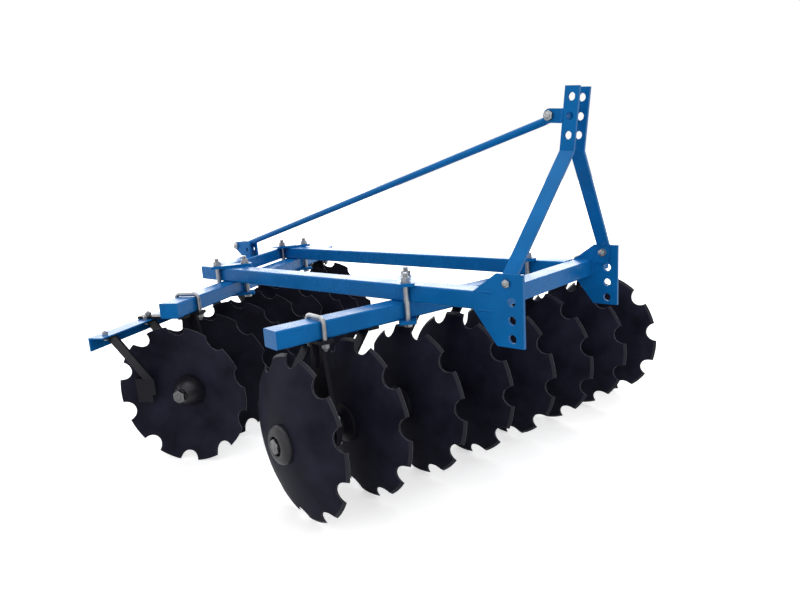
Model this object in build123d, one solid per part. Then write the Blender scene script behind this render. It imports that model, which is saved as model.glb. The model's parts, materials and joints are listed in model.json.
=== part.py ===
from build123d import *
from math import asin, atan2, cos, degrees, hypot, radians, sin, sqrt, tan
import os

# A tractor-mounted offset disc harrow: two gangs of notched discs under a welded
# frame of rectangular tube, with a three-point hitch and mast at the front.
# Millimetres. While it is modelled, X points forward, Y to the left and Z up from
# the ground; X = 0 is the front face of the front crossbeam and Y = 0 its middle.

# discs
disc_diameter = 560.0
disc_thickness = 5.0
dish_radius = 660.0
notch_count = 10
notch_radius = 40.0
notch_depth = 37.0
bevel_width = 9.0
edge_thickness = 1.5
disc_count = 8
disc_pitch = 238.5

# square axle with its spools, end bells and nuts
axle_side = 30.0
axle_bore_clearance = 0.3
thread_diameter = 28.0
thread_tail = 3.0
axle_shoulder = 2.0
axle_nut_across = 46.0
axle_nut_height = 18.0
thread_clearance = 0.2
seat_gap = 0.2
flange_diameter = 130.0
flange_thickness = 10.0
barrel_diameter = 64.0
flange_taper = 16.0
dome_bell_length = 12.0
hollow_bell_length = 70.0
bell_face_diameter = 62.0
bell_bulge = 0.06

# bearings and their hangers
bearing_from_disc = 76.5
axle_ahead = 8.0
journal_diameter = 72.0
journal_length = 84.0
journal_clearance = 0.05
housing_diameter = 104.0
housing_length = 58.0
housing_flange_diameter = 136.0
housing_flange_thickness = 9.0
housing_seat_clearance = 0.25
seal_groove = (84.0, 88.0, 1.0)
hanger_plate = (122.0, 50.0, 12.0)
hanger_leg_thickness = 16.0
hanger_leg_width = 60.0
hanger_ring_width = 20.0
leg_ring_inset = 2.0
leg_flank = 20.0
gusset_thickness = 10.0
gusset_reach = 16.0
gusset_drop = 90.0

# frame tube, laid flat
tube_width = 80.0
tube_height = 60.0
tube_corner = 6.0
disc_to_beam = 32.0
frame_width = 710.0
beam_overrun = 6.0
front_gang_x = -340.0
rear_gang_x = -1614.0
front_angle = 10.0
rear_angle = 26.8
gang_beam_length = 1730.0
rear_cross_behind = 70.0
disc_row_shift = -29.3
rear_gang_shift = -2.0

# hitch plates: outline as X from the crossbeam's face and Z from the frame's underside
plate_thickness = 12.0
plate_front = 103.0
plate_top = 122.0
plate_drop = 110.0
plate_top_back = 8.0
plate_bottom_back = 6.0
link_hole_diameter = 29.0
link_hole_x = 62.0
link_hole_pitch = 58.5
link_hole_count = 3
link_hole_top = 35.0

# mast of two bent flat bars, leaning forward about its foot bolts
mast_width = 50.0
mast_thickness = 10.0
mast_gap = 64.0
mast_lean = 6.3
mast_foot_x = 47.5
mast_foot_z = 93.0
mast_foot_tail = 40.0
mast_foot_rise = 24.0
mast_knee = 385.0
mast_top = 587.0
mast_hole_diameter = 26.0
mast_hole_pitch = 59.3
mast_hole_top = 554.0
foot_bolt_diameter = 16.0

# stay from the mast's bracket to the lugs on the rear crossbeam
stay_diameter = 27.0
stay_drop = 7.0
stay_eye_width = 36.0
stay_eye_thickness = 12.0
stay_eye_length = 14.0
stay_flare = 22.0
stay_pin_diameter = 20.0
stay_pin_back = 81.5
ear_gap = 30.0
ear_thickness = 10.0
ear_height = 46.0
bracket_base = 8.0
lug_gap = 30.0
lug_thickness = 10.0
lug_pin_behind = 131.0
lug_pin_rise = 50.0
lug_pin_radius = 21.0
lug_hole_step = (86.0, -18.0)
lug_height = 74.0
lug_front_x = 22.0
lug_foot_length = 76.0
lug_bevel = (12.0, 12.0)
lug_heel_angle = 55.0

# clamps that hold the gang beams under the long beams
clamp_bolt_diameter = 20.0
clamp_bolt_gap = 2.0
clamp_strap = (62.0, 12.0)
clamp_strap_end = 30.0
clamp_strap_corner = 8.0
bolt_clearance = 0.5
clamp_bolt_tail = 18.0
cross_bolt_tail = 6.0
ubolt_diameter = 16.0
ubolt_gap = 1.5
ubolt_bend = 18.0
ubolt_tail = 12.0

# scrapers on an angle-iron bar behind each gang
bar_flat_leg = 60.0
bar_upright_leg = 50.0
bar_wall = 5.0
bar_front = -106.0
bar_ends = (-717.0, 1116.0)
bar_strap = (40.0, 10.0)
bar_strap_at = (-500.0, 806.0)
bar_strap_overhang = 6.0
scraper_foot_offset = 258.0
scraper_arm = (46.0, 8.0)
scraper_foot = 26.0
arm_lap = 0.35
blade_width = 70.0
blade_thickness = 6.0
blade_x = -170.0
blade_top = 60.0
blade_bottom = -40.0
blade_clearance = 7.0

# hexagon bolts and nuts, as shares of the bolt's diameter
hex_across = 1.5
head_height = 0.65
nut_height = 0.8

# length of a cutter that passes right through a plate or a pair of plates
drill_length = 60.0


def hex_prism(across, height):
    return extrude(RegularPolygon(across / sqrt(3), 6), height)


def rod(diameter, length):
    return Cylinder(diameter / 2, length, align=(Align.CENTER, Align.CENTER, Align.MIN))


def block(x, y, z):
    # boxes are placed by ranges: each argument is a pair of limits
    size = [b - a for a, b in (x, y, z)]
    centre = [(a + b) / 2 for a, b in (x, y, z)]
    return Pos(*centre) * Box(*size)


def tube_along_x(length, width, height):
    # closed rectangular tube with rolled corners, from x = 0 to x = length
    body = Pos(length / 2, 0, 0) * Box(length, width, height)
    return fillet(body.edges().filter_by(Axis.X), tube_corner)


def bolt_along_z(diameter, grip, tail):
    # hexagon bolt from z = 0 up through the grip, with its nut above; one solid each
    across = hex_across * diameter
    head = head_height * diameter
    nut = nut_height * diameter
    shank = rod(diameter, grip + nut + tail)
    head = Pos(0, 0, -head) * hex_prism(across, head)
    nut = Pos(0, 0, grip) * hex_prism(across, nut)
    return (head + shank + nut).solid()


def bent_flat(path, thickness):
    # face of a flat bar's edge: the path is its middle line, mitred at each bend
    offset = []
    for i, (px, py) in enumerate(path):
        ahead = path[min(i + 1, len(path) - 1)]
        back = path[max(i - 1, 0)]
        din = (px - back[0], py - back[1]) if i > 0 else (ahead[0] - px, ahead[1] - py)
        dout = (ahead[0] - px, ahead[1] - py) if i < len(path) - 1 else din
        lin, lout = hypot(*din), hypot(*dout)
        nx = -(din[1] / lin + dout[1] / lout)
        ny = din[0] / lin + dout[0] / lout
        size = hypot(nx, ny)
        nx, ny = nx / size, ny / size
        half = thickness / 2 / ((-din[1] / lin) * nx + (din[0] / lin) * ny)
        offset.append((nx * half, ny * half))
    left = [(p[0] + o[0], p[1] + o[1]) for p, o in zip(path, offset)]
    right = [(p[0] - o[0], p[1] - o[1]) for p, o in zip(path, offset)]
    return make_face(Polyline(*left, *right[::-1], close=True))


# heights that follow from the discs
disc_radius = disc_diameter / 2
axle_z = disc_radius
gang_bottom = axle_z + disc_radius + disc_to_beam
gang_top = gang_bottom + tube_height
frame_bottom = gang_top
frame_top = frame_bottom + tube_height
gang_middle = (gang_bottom + gang_top) / 2
frame_middle = (frame_bottom + frame_top) / 2
half_frame = frame_width / 2
beam_y = half_frame - tube_width / 2
beam_inner = half_frame - tube_width
plate_inner = half_frame - plate_thickness


def dish(radius, shell):
    # how far a sphere of the dish bulges at a radius from the axle, from the hub plane
    return dish_radius - sqrt((dish_radius + shell) ** 2 - radius ** 2)


# In a gang's own frame Y runs along the axle, X forward and Z up from the ground.
# The front gang's hollow sides face +Y; the rear gang is its mirror image.
def hub_y(index):
    return disc_row_shift + (index - (disc_count - 1) / 2) * disc_pitch


bearing_spans = (0, disc_count - 2)


def bearing_y(span):
    return hub_y(span + 1) - bearing_from_disc


def turned(profile):
    # profile in the XY plane with X as radius, turned about the axle
    return revolve(profile, Axis.Y)


def dish_arc(shell, radius, y):
    # quarter line of the dish in the XY plane, from the axis out to a radius
    ball = dish_radius + shell
    centre = (0, y + dish_radius)
    mid = asin(radius / ball) / 2
    start = (0, centre[1] - ball)
    end = (radius, centre[1] - sqrt(ball ** 2 - radius ** 2))
    return ThreePointArc(start, (ball * sin(mid), centre[1] - ball * cos(mid)), end)


square_bore = axle_side + 2 * axle_bore_clearance


def axle_hole(length, y):
    return Pos(0, y + length / 2, 0) * Box(square_bore, length, square_bore)


def make_disc(phase):
    # dished blade, ground to a bevel on its domed side, with round notches in its rim
    inner = dish_arc(0, disc_radius, 0)
    ground = disc_radius - bevel_width
    outer = dish_arc(disc_thickness, ground, 0)
    rim = inner @ 1
    lip = (disc_radius, rim.Y - edge_thickness)
    face = make_face([
        inner,
        Line(rim, lip),
        Line(lip, outer @ 1),
        outer,
        Line(outer @ 0, inner @ 0),
    ])
    body = turned(face)
    centre = disc_radius - notch_depth + notch_radius
    cutter = Rot(-90, 0, 0) * Cylinder(notch_radius, disc_diameter)
    for i in range(notch_count):
        body -= Rot(0, phase + 360 / notch_count * i, 0) * Pos(centre, 0, 0) * cutter
    return body - axle_hole(4 * disc_thickness, -2 * disc_thickness)


def make_spool(index):
    # cast spool from the hollow side of one disc to the domed side of the next
    y0 = hub_y(index) + seat_gap
    y1 = hub_y(index + 1) - seat_gap
    flange = flange_diameter / 2
    barrel = barrel_diameter / 2
    start = dish_arc(0, flange, y0)
    end = dish_arc(disc_thickness, flange, y1)
    a, b = (start @ 1).Y + flange_thickness, (end @ 1).Y - flange_thickness
    side = Polyline(start @ 1, (flange, a), (barrel, a + flange_taper),
                    (barrel, b - flange_taper), (flange, b), end @ 1)
    body = turned(make_face([start, side, end, Line(end @ 0, start @ 0)]))
    if index in bearing_spans:
        middle = bearing_y(index)
        journal = Rot(-90, 0, 0) * Cylinder(journal_diameter / 2, journal_length)
        body += Pos(0, middle, 0) * journal
    return body - axle_hole(y1 - y0 + disc_pitch, y0 - disc_pitch / 2)


def bell_tips():
    # the end faces of the two bells, against which the axle's nuts are tightened
    first = hub_y(0) - disc_thickness - seat_gap - dome_bell_length
    last = hub_y(disc_count - 1) + seat_gap + hollow_bell_length
    return first, last


def make_bell(at_start):
    # domed end washer: hollow-faced on the first disc's dome, domed in the last dish
    flange = flange_diameter / 2
    nose = bell_face_diameter / 2
    if at_start:
        seat = dish_arc(disc_thickness, flange, hub_y(0) - seat_gap)
        tip, sign = bell_tips()[0], -1
    else:
        seat = dish_arc(0, flange, hub_y(disc_count - 1) + seat_gap)
        tip, sign = bell_tips()[1], 1
    edge = seat @ 1
    lip = (flange, edge.Y + sign * flange_thickness)
    inward, outward = flange - nose, abs(tip - lip[1])
    swell = ((flange + nose) / 2 + bell_bulge * outward,
             (lip[1] + tip) / 2 + sign * bell_bulge * inward)
    dome = ThreePointArc(lip, swell, (nose, tip))
    face = make_face([seat, Line(edge, lip), dome, Line((nose, tip), (0, tip)),
                      Line((0, tip), seat @ 0)])
    return turned(face) - axle_hole(disc_pitch, (edge.Y + tip) / 2 - disc_pitch / 2)


def make_axle():
    # square bar, round and threaded at both ends
    first, last = bell_tips()
    bar = block((-axle_side / 2, axle_side / 2), (first + axle_shoulder, last - axle_shoulder),
                (-axle_side / 2, axle_side / 2))
    full = last - first + 2 * (axle_nut_height + thread_tail)
    thread = Rot(-90, 0, 0) * Cylinder(thread_diameter / 2, full)
    return bar + Pos(0, (first + last) / 2, 0) * thread


def make_axle_nuts():
    first, last = bell_tips()
    bore = rod(thread_diameter + 2 * thread_clearance, axle_nut_height)
    nut = hex_prism(axle_nut_across, axle_nut_height) - bore
    return [Pos(0, last, 0) * Rot(-90, 0, 0) * nut, Pos(0, first, 0) * Rot(90, 0, 0) * nut]


def make_hanger(y):
    # top plate under the gang beam, a leg down to the ring round the bearing, two gussets
    px, py, pz = hanger_plate
    top = block((-px / 2, px / 2), (-py / 2, py / 2), (gang_bottom - pz, gang_bottom))
    ring_radius = housing_diameter / 2 + hanger_ring_width
    ring = Rot(-90, 0, 0) * Cylinder(ring_radius, hanger_leg_thickness)
    half = hanger_leg_width / 2
    spread = ring_radius - leg_ring_inset
    leg = extrude(Plane.XZ.offset(-hanger_leg_thickness / 2) * make_face(Polyline(
        (-half, gang_bottom - pz), (half, gang_bottom - pz),
        (axle_ahead + spread, axle_z + leg_flank), (axle_ahead + spread, axle_z),
        (axle_ahead - spread, axle_z), (axle_ahead - spread, axle_z + leg_flank), close=True)),
        hanger_leg_thickness)
    under = gang_bottom - pz
    low = hanger_leg_thickness / 2
    gusset = extrude(Plane.YZ.offset(-gusset_thickness / 2) * make_face(Polyline(
        (-low - gusset_reach, under), (low + gusset_reach, under), (low, under - gusset_drop),
        (-low, under - gusset_drop), close=True)), gusset_thickness)
    body = top + leg + gusset + Pos(axle_ahead, 0, axle_z) * ring
    seat = housing_diameter / 2 + housing_seat_clearance
    body -= Pos(axle_ahead, 0, axle_z) * Rot(-90, 0, 0) * Cylinder(seat, disc_pitch)
    reach = tube_width / 2 + ubolt_gap + ubolt_diameter / 2
    for side in (-1, 1):
        hole = rod(ubolt_diameter + 2 * bolt_clearance, 4 * pz)
        body -= Pos(side * reach, 0, gang_bottom - 3 * pz) * hole
    return Pos(0, y, 0) * body


def make_housing(y):
    # round bearing cartridge with a flange against the leg, bored for the journal
    sleeve = Cylinder(housing_diameter / 2, housing_length)
    flange = Pos(0, 0, hanger_leg_thickness / 2 + housing_flange_thickness / 2) * Cylinder(
        housing_flange_diameter / 2, housing_flange_thickness)
    bore = Cylinder(journal_diameter / 2 + journal_clearance, 2 * housing_length)
    inner, outer, depth = seal_groove
    groove = Cylinder(outer / 2, 2 * depth) - Cylinder(inner / 2, 2 * depth)
    body = sleeve + flange - bore - Pos(0, 0, housing_length / 2) * groove
    return Pos(axle_ahead, y, axle_z) * Rot(-90, 0, 0) * body


def make_ubolt(y):
    # round U over the gang beam, nutted under the hanger's top plate
    reach = tube_width / 2 + ubolt_gap + ubolt_diameter / 2
    crown = gang_top + ubolt_gap + ubolt_diameter / 2
    under = gang_bottom - hanger_plate[2]
    nut = nut_height * ubolt_diameter
    low = under - nut - ubolt_tail
    path = Plane.XZ * FilletPolyline((-reach, low), (-reach, crown), (reach, crown),
                                     (reach, low), radius=ubolt_bend)
    section = Plane(origin=path @ 0, z_dir=path % 0) * Circle(ubolt_diameter / 2)
    body = sweep(section, path)
    for side in (-1, 1):
        body += Pos(side * reach, 0, under - nut) * hex_prism(hex_across * ubolt_diameter, nut)
    return Pos(0, y, 0) * body.solid()


def make_bar():
    # angle iron with one leg flat on top and the other hanging from its rear edge
    top = gang_bottom - bar_strap[1]
    rear = bar_front - bar_flat_leg
    flat = block((rear, bar_front), bar_ends, (top - bar_wall, top))
    upright = block((rear, rear + bar_wall), bar_ends, (top - bar_upright_leg, top))
    return flat + upright


def make_bar_straps():
    width, thick = bar_strap
    rear = bar_front - bar_flat_leg - bar_strap_overhang
    return [block((rear, tube_width / 2), (y - width / 2, y + width / 2),
                  (gang_bottom - thick, gang_bottom)) for y in bar_strap_at]


def make_scraper(index):
    # bent arm from the bar down to a blade that follows the hollow of its disc
    width, thick = scraper_arm
    foot_z = gang_bottom - bar_strap[1] - bar_wall - thick / 2
    hub = hub_y(index)
    foot_y = hub + scraper_foot_offset

    def face_y(height, x):
        radius = min(hypot(x - axle_ahead, height), disc_radius)
        return hub + dish(radius, 0) + blade_clearance + blade_thickness / 2

    rear = blade_x - blade_width / 2
    top = (face_y(blade_top, rear), axle_z + blade_top)
    bottom = (face_y(blade_bottom, rear), axle_z + blade_bottom)
    slope = atan2(top[1] - bottom[1], top[0] - bottom[0])
    lap = (blade_thickness + thick) / 2
    shift = (lap * sin(slope), -lap * cos(slope))
    arm_low = (bottom[0] + arm_lap * (top[0] - bottom[0]) + shift[0],
               bottom[1] + arm_lap * (top[1] - bottom[1]) + shift[1])
    arm_high = (top[0] + shift[0], top[1] + shift[1])
    arm = bent_flat([(foot_y + scraper_foot, foot_z), (foot_y - scraper_foot, foot_z),
                     arm_high, arm_low], thick)
    arm_x = bar_front - bar_flat_leg / 2
    arm = extrude(Plane.YZ.offset(arm_x - width / 2) * arm, width)
    blade = extrude(Plane.YZ.offset(rear)
                    * bent_flat([top, bottom], blade_thickness), blade_width)
    return (arm + blade).solid()


nodes = {}

front_place = Location((front_gang_x, 0, 0), (0, 0, -front_angle))
rear_place = Location((rear_gang_x, 0, 0), (0, 0, rear_angle))


def to_front(shape):
    return front_place * shape


def to_rear(shape):
    return rear_place * Pos(0, rear_gang_shift, 0) * mirror(shape, about=Plane.XZ)


def placed(gang, shape):
    return to_front(shape) if gang == "front" else to_rear(shape)


def side_name(gang, first):
    # the mirror image swaps which end of a gang is on the right
    return "right" if first == (gang == "front") else "left"


# where each disc's first notch stands round the axle, in degrees below straight ahead
notch_turns = {
    "front": (20.5, 29.0, 30.5, 34.5, 5.0, 19.0, 19.0, 27.0),
    "rear": (22.0, 10.0, 0.0, 15.0, 30.5, 23.0, 20.5, 20.0),
}

gangs = ("front", "rear")
for gang in gangs:
    raised = Pos(axle_ahead, 0, axle_z)
    for index, turn in enumerate(notch_turns[gang]):
        disc = raised * Pos(0, hub_y(index), 0) * make_disc(turn)
        number = index + 1 if gang == "front" else disc_count - index
        nodes[f"disc_{gang}_{number}"] = [placed(gang, disc)]
    spools = [make_spool(i) for i in range(disc_count - 1)]
    nodes[f"spools_{gang}"] = [placed(gang, raised * s) for s in spools]
    bells = [make_bell(True), make_bell(False)]
    nodes[f"end_bells_{gang}"] = [placed(gang, raised * s) for s in bells]
    nodes[f"axle_{gang}"] = [placed(gang, raised * s) for s in [make_axle(), *make_axle_nuts()]]
    for first, span in zip((True, False), bearing_spans):
        side = side_name(gang, first)
        nodes[f"hanger_{gang}_{side}"] = [placed(gang, make_hanger(bearing_y(span)))]
        nodes[f"bearing_{gang}_{side}"] = [placed(gang, make_housing(bearing_y(span)))]
    nodes[f"u_bolts_{gang}"] = [placed(gang, make_ubolt(bearing_y(s))) for s in bearing_spans]
    nodes[f"scraper_bar_{gang}"] = [placed(gang, make_bar())]
    nodes[f"bar_straps_{gang}"] = [placed(gang, s) for s in make_bar_straps()]
    nodes[f"scrapers_{gang}"] = [placed(gang, make_scraper(i)) for i in range(disc_count)]
    beam = tube_along_x(gang_beam_length, tube_width, tube_height)
    beam = Pos(0, -gang_beam_length / 2, gang_middle) * Rot(0, 0, 90) * beam
    place = front_place if gang == "front" else rear_place
    nodes[f"gang_beam_{gang}"] = [place * beam]


def gang_line_x(gang, y):
    # X of a gang beam's middle line where it crosses a given Y
    if gang == "front":
        return front_gang_x + y * tan(radians(front_angle))
    return rear_gang_x - y * tan(radians(rear_angle))


def rear_cross_x(y):
    # front face of the rear crossbeam, which runs parallel to the rear gang
    return rear_gang_x - rear_cross_behind - y * tan(radians(rear_angle))


cross_depth = tube_width / cos(radians(rear_angle))
for side, name in ((-1, "right"), (1, "left")):
    rear_end = rear_cross_x(side * beam_inner) - cross_depth - beam_overrun
    length = -tube_width - rear_end
    beam = tube_along_x(length, tube_width, tube_height)
    nodes[f"long_beam_{name}"] = [Pos(rear_end, side * beam_y, frame_middle) * beam]

front_cross = tube_along_x(2 * plate_inner, tube_width, tube_height)
nodes["crossbeam_front"] = [
    Pos(-tube_width / 2, -plate_inner, frame_middle) * Rot(0, 0, 90) * front_cross]

rear_cross = tube_along_x(2 * frame_width, tube_width, tube_height)
rear_cross = Pos(-tube_width / 2, -frame_width, 0) * Rot(0, 0, 90) * rear_cross
rear_cross = Location((rear_cross_x(0), 0, frame_middle), (0, 0, rear_angle)) * rear_cross
inside = block((2 * rear_gang_x, 0), (-beam_inner, beam_inner), (0, 2 * frame_top))
nodes["crossbeam_rear"] = [(rear_cross & inside).solid()]

# hitch plates on the crossbeam's ends, in front of the long beams
plate_outline = [
    (plate_front, frame_bottom + plate_top),
    (plate_front, frame_bottom - plate_drop),
    (plate_bottom_back, frame_bottom - plate_drop),
    (-tube_width, frame_bottom),
    (-tube_width, frame_top),
    (plate_top_back, frame_bottom + plate_top),
]
link_holes = [(link_hole_x, frame_bottom + link_hole_top - link_hole_pitch * i)
              for i in range(link_hole_count)]
foot = (mast_foot_x, frame_bottom + mast_foot_z)
for side, name in ((-1, "right"), (1, "left")):
    start = -half_frame if side < 0 else plate_inner
    outline = Plane.XZ.offset(-start) * make_face(Polyline(*plate_outline, close=True))
    plate = extrude(outline, -plate_thickness)
    for x, z in link_holes:
        plate -= Pos(x, start, z) * Rot(-90, 0, 0) * Cylinder(link_hole_diameter / 2, drill_length)
    bolt_hole = Cylinder(foot_bolt_diameter / 2 + bolt_clearance, drill_length)
    plate -= Pos(foot[0], start, foot[1]) * Rot(-90, 0, 0) * bolt_hole
    nodes[f"hitch_plate_{name}"] = [plate]

# mast: drawn upright over its foot bolt, then leaned forward about that bolt
mast_place = Location((foot[0], 0, foot[1]), (0, mast_lean, 0))
mast_holes = [mast_hole_top - mast_hole_pitch * i for i in range(3)]
foot_y = plate_inner - mast_thickness / 2
head_y = mast_gap / 2 + mast_thickness / 2
for side, name in ((-1, "right"), (1, "left")):
    path = [(side * foot_y, -mast_foot_tail), (side * foot_y, mast_foot_rise),
            (side * head_y, mast_knee), (side * head_y, mast_top)]
    bar = extrude(Plane.YZ.offset(-mast_width / 2) * bent_flat(path, mast_thickness), mast_width)
    for s in mast_holes:
        bar -= Pos(0, side * head_y, s) * Rot(-90, 0, 0) * Cylinder(mast_hole_diameter / 2, drill_length)
    hole = Cylinder(foot_bolt_diameter / 2 + bolt_clearance, drill_length)
    bar -= Pos(0, side * foot_y, 0) * Rot(-90, 0, 0) * hole
    nodes[f"mast_bar_{name}"] = [mast_place * bar]

# bracket on the mast's rear edges: a base strip and two ears for the stay's front pin
pin_s = mast_holes[1]
back = -mast_width / 2
half_head = mast_gap / 2 + mast_thickness
bracket = block((back - bracket_base, back), (-half_head, half_head),
                (pin_s - ear_height / 2, pin_s + ear_height / 2))
for side in (-1, 1):
    inner = side * (ear_gap / 2 + ear_thickness / 2)
    span = (inner - ear_thickness / 2, inner + ear_thickness / 2)
    ear = block((-stay_pin_back, back - bracket_base), span,
                (pin_s - ear_height / 2, pin_s + ear_height / 2))
    round_end = Rot(-90, 0, 0) * Cylinder(ear_height / 2, ear_thickness)
    bracket += ear + Pos(-stay_pin_back, inner, pin_s) * round_end
pin_hole = Cylinder(stay_pin_diameter / 2 + bolt_clearance, drill_length)
bracket -= Pos(-stay_pin_back, 0, pin_s) * Rot(-90, 0, 0) * pin_hole
nodes["mast_bracket"] = [mast_place * bracket]
lean = radians(mast_lean)
front_pin = (foot[0] - stay_pin_back * cos(lean) + pin_s * sin(lean),
             foot[1] + stay_pin_back * sin(lean) + pin_s * cos(lean))

# lugs on the rear crossbeam, with the stay's rear pin behind it
rear_pin = (rear_cross_x(0) - lug_pin_behind, frame_top + lug_pin_rise)
lug_front = rear_cross_x(0) - lug_front_x
second_hole = (rear_pin[0] + lug_hole_step[0], rear_pin[1] + lug_hole_step[1])
lugs = []
for side in (-1, 1):
    y = side * (lug_gap / 2 + lug_thickness / 2)
    outline = make_face(Polyline(
        (lug_front - lug_foot_length, frame_top), (lug_front, frame_top),
        (lug_front, frame_top + lug_height - lug_bevel[1]),
        (lug_front - lug_bevel[0], frame_top + lug_height),
        (rear_pin[0], rear_pin[1] + lug_pin_radius), (rear_pin[0], rear_pin[1]),
        (rear_pin[0] - lug_pin_radius * cos(radians(lug_heel_angle)),
         rear_pin[1] - lug_pin_radius * sin(radians(lug_heel_angle))),
        close=True))
    lug = extrude(Plane.XZ.offset(-y - lug_thickness / 2) * outline, lug_thickness)
    lug += Pos(rear_pin[0], y, rear_pin[1]) * Rot(-90, 0, 0) * Cylinder(lug_pin_radius, lug_thickness)
    for x, z in (rear_pin, second_hole):
        hole = Cylinder(stay_pin_diameter / 2 + bolt_clearance, drill_length)
        lug -= Pos(x, y, z) * Rot(-90, 0, 0) * hole
    lugs.append(lug)
nodes["stay_lugs"] = lugs

# stay: round bar with an eye forged at each end, its middle a little below the pins
run = (front_pin[0] - rear_pin[0], front_pin[1] - rear_pin[1])
stay_length = hypot(*run)
rise = degrees(atan2(run[1], run[0]))
stay = Pos(stay_length / 2, 0, -stay_drop) * Rot(0, 90, 0) * Cylinder(
    stay_diameter / 2, stay_length - 2 * (stay_eye_length + stay_flare))
for end in (0, 1):
    eye = block((0, stay_eye_length), (-stay_eye_thickness / 2, stay_eye_thickness / 2),
                (-stay_eye_width / 2, stay_eye_width / 2))
    eye += Rot(-90, 0, 0) * Cylinder(stay_eye_width / 2, stay_eye_thickness)
    flat = Plane.YZ.offset(stay_eye_length) * Rectangle(stay_eye_thickness, stay_eye_width)
    pipe = Plane.YZ.offset(stay_eye_length + stay_flare) * Pos(0, -stay_drop)
    pipe = pipe * Circle(stay_diameter / 2)
    eye += loft([flat, pipe])
    eye -= Rot(-90, 0, 0) * Cylinder(stay_pin_diameter / 2 + bolt_clearance, drill_length)
    stay += eye if end == 0 else Pos(stay_length, 0, 0) * Rot(0, 0, 180) * eye
nodes["stay"] = [Location((rear_pin[0], 0, rear_pin[1]), (0, -rise, 0)) * stay.solid()]


def cross_bolt(x, z, grip, diameter, y_low):
    # bolt along Y whose head is at the lower Y
    return Pos(x, y_low, z) * Rot(-90, 0, 0) * bolt_along_z(diameter, grip, cross_bolt_tail)


ears = ear_gap + 2 * ear_thickness
lugs_across = lug_gap + 2 * lug_thickness
nodes["stay_pins"] = [
    cross_bolt(*front_pin, ears, stay_pin_diameter, -ears / 2),
    cross_bolt(*rear_pin, lugs_across, stay_pin_diameter, -lugs_across / 2),
]
foot_grip = plate_thickness + mast_thickness
nodes["mast_bolts"] = [
    cross_bolt(*foot, foot_grip, foot_bolt_diameter, -half_frame),
    mirror(cross_bolt(*foot, foot_grip, foot_bolt_diameter, -half_frame), about=Plane.XZ),
]

# clamps: a strap over the long beam, one under the gang beam, and a bolt on each side
clamp_reach = tube_width / 2 + clamp_bolt_gap + clamp_bolt_diameter / 2
strap_width, strap_thickness = clamp_strap
for gang in gangs:
    angle = radians(front_angle if gang == "front" else rear_angle)
    ahead = 1 if gang == "front" else -1
    bolts = []
    for side, name in ((-1, "right"), (1, "left")):
        points = []
        for step in (-1, 1):
            y = side * beam_y + step * clamp_reach
            x = gang_line_x(gang, y) - step * ahead * clamp_reach / cos(angle)
            points.append((x, y))
        (xa, ya), (xb, yb) = points
        centre = ((xa + xb) / 2, (ya + yb) / 2)
        turn = degrees(atan2(yb - ya, xb - xa))
        length = hypot(xb - xa, yb - ya) + 2 * clamp_strap_end
        solids = []
        for z in (frame_top + strap_thickness / 2, gang_bottom - strap_thickness / 2):
            strap = Box(length, strap_width, strap_thickness)
            strap = fillet(strap.edges().filter_by(Axis.Z), clamp_strap_corner)
            strap = Location((*centre, z), (0, 0, turn)) * strap
            for x, y in points:
                hole = rod(clamp_bolt_diameter + 2 * bolt_clearance, drill_length)
                strap -= Pos(x, y, z - drill_length / 2) * hole
            solids.append(strap)
        nodes[f"clamp_straps_{gang}_{name}"] = solids
        grip = frame_top - gang_bottom + 2 * strap_thickness
        bolts += [Pos(x, y, gang_bottom - strap_thickness)
                  * bolt_along_z(clamp_bolt_diameter, grip, clamp_bolt_tail) for x, y in points]
    nodes[f"clamp_bolts_{gang}"] = bolts

# the part's origin is on the ground under the middle of its whole length and width
boxes = [s.bounding_box() for solids in nodes.values() for s in solids]
low = [min(b.min.X for b in boxes), min(b.min.Y for b in boxes), min(b.min.Z for b in boxes)]
high = [max(b.max.X for b in boxes), max(b.max.Y for b in boxes), max(b.max.Z for b in boxes)]
shift = (-(low[0] + high[0]) / 2, -(low[1] + high[1]) / 2, -low[2])
print("size", [round(h - l, 2) for l, h in zip(low, high)], "shift", [round(v, 4) for v in shift])

os.makedirs("parts", exist_ok=True)
for name, solids in nodes.items():
    moved = [Pos(*shift) * s for s in solids]
    shape = moved[0] if len(moved) == 1 else Compound(children=moved)
    export_step(shape, f"parts/{name}.step")


def report(label, point):
    print(label, [round((p + s) / 1000, 6) for p, s in zip(point, shift)])


# places that fasten or turn, in metres from the part's origin
for gang, place in (("front", front_place), ("rear", rear_place)):
    origin = place * Pos(axle_ahead, 0, axle_z)
    report(f"{gang}_axle", tuple(origin.position))
for i, (x, z) in enumerate(link_holes):
    report(f"lower_link_right_{i + 1}", (x, -half_frame + plate_thickness / 2, z))
    report(f"lower_link_left_{i + 1}", (x, half_frame - plate_thickness / 2, z))
for i, s in enumerate(mast_holes):
    report(f"top_link_{i + 1}", (foot[0] + s * sin(lean), 0, foot[1] + s * cos(lean)))
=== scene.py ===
# %% [markdown]
# # A disc harrow, dressed for its photograph
# A disc harrow cuts and turns the soil with two rows of notched discs, each row a gang on
# one square axle. Its solid parts already stand at their true size in the frame file. This
# lesson gives them their surfaces and adds the small things that were left out of the
# solids (weld beads, threads, washers, bearing bolts, seals and the rounded crowns of the
# end bells), then sets the light and the camera.
#
# The parts could be modelled again here, but then they would no longer be the ones that
# were measured. So they are loaded and left as they are.

# %% Load the solid parts
import json
import math

import bmesh
import bpy
from mathutils import Matrix, Vector, noise


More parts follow.
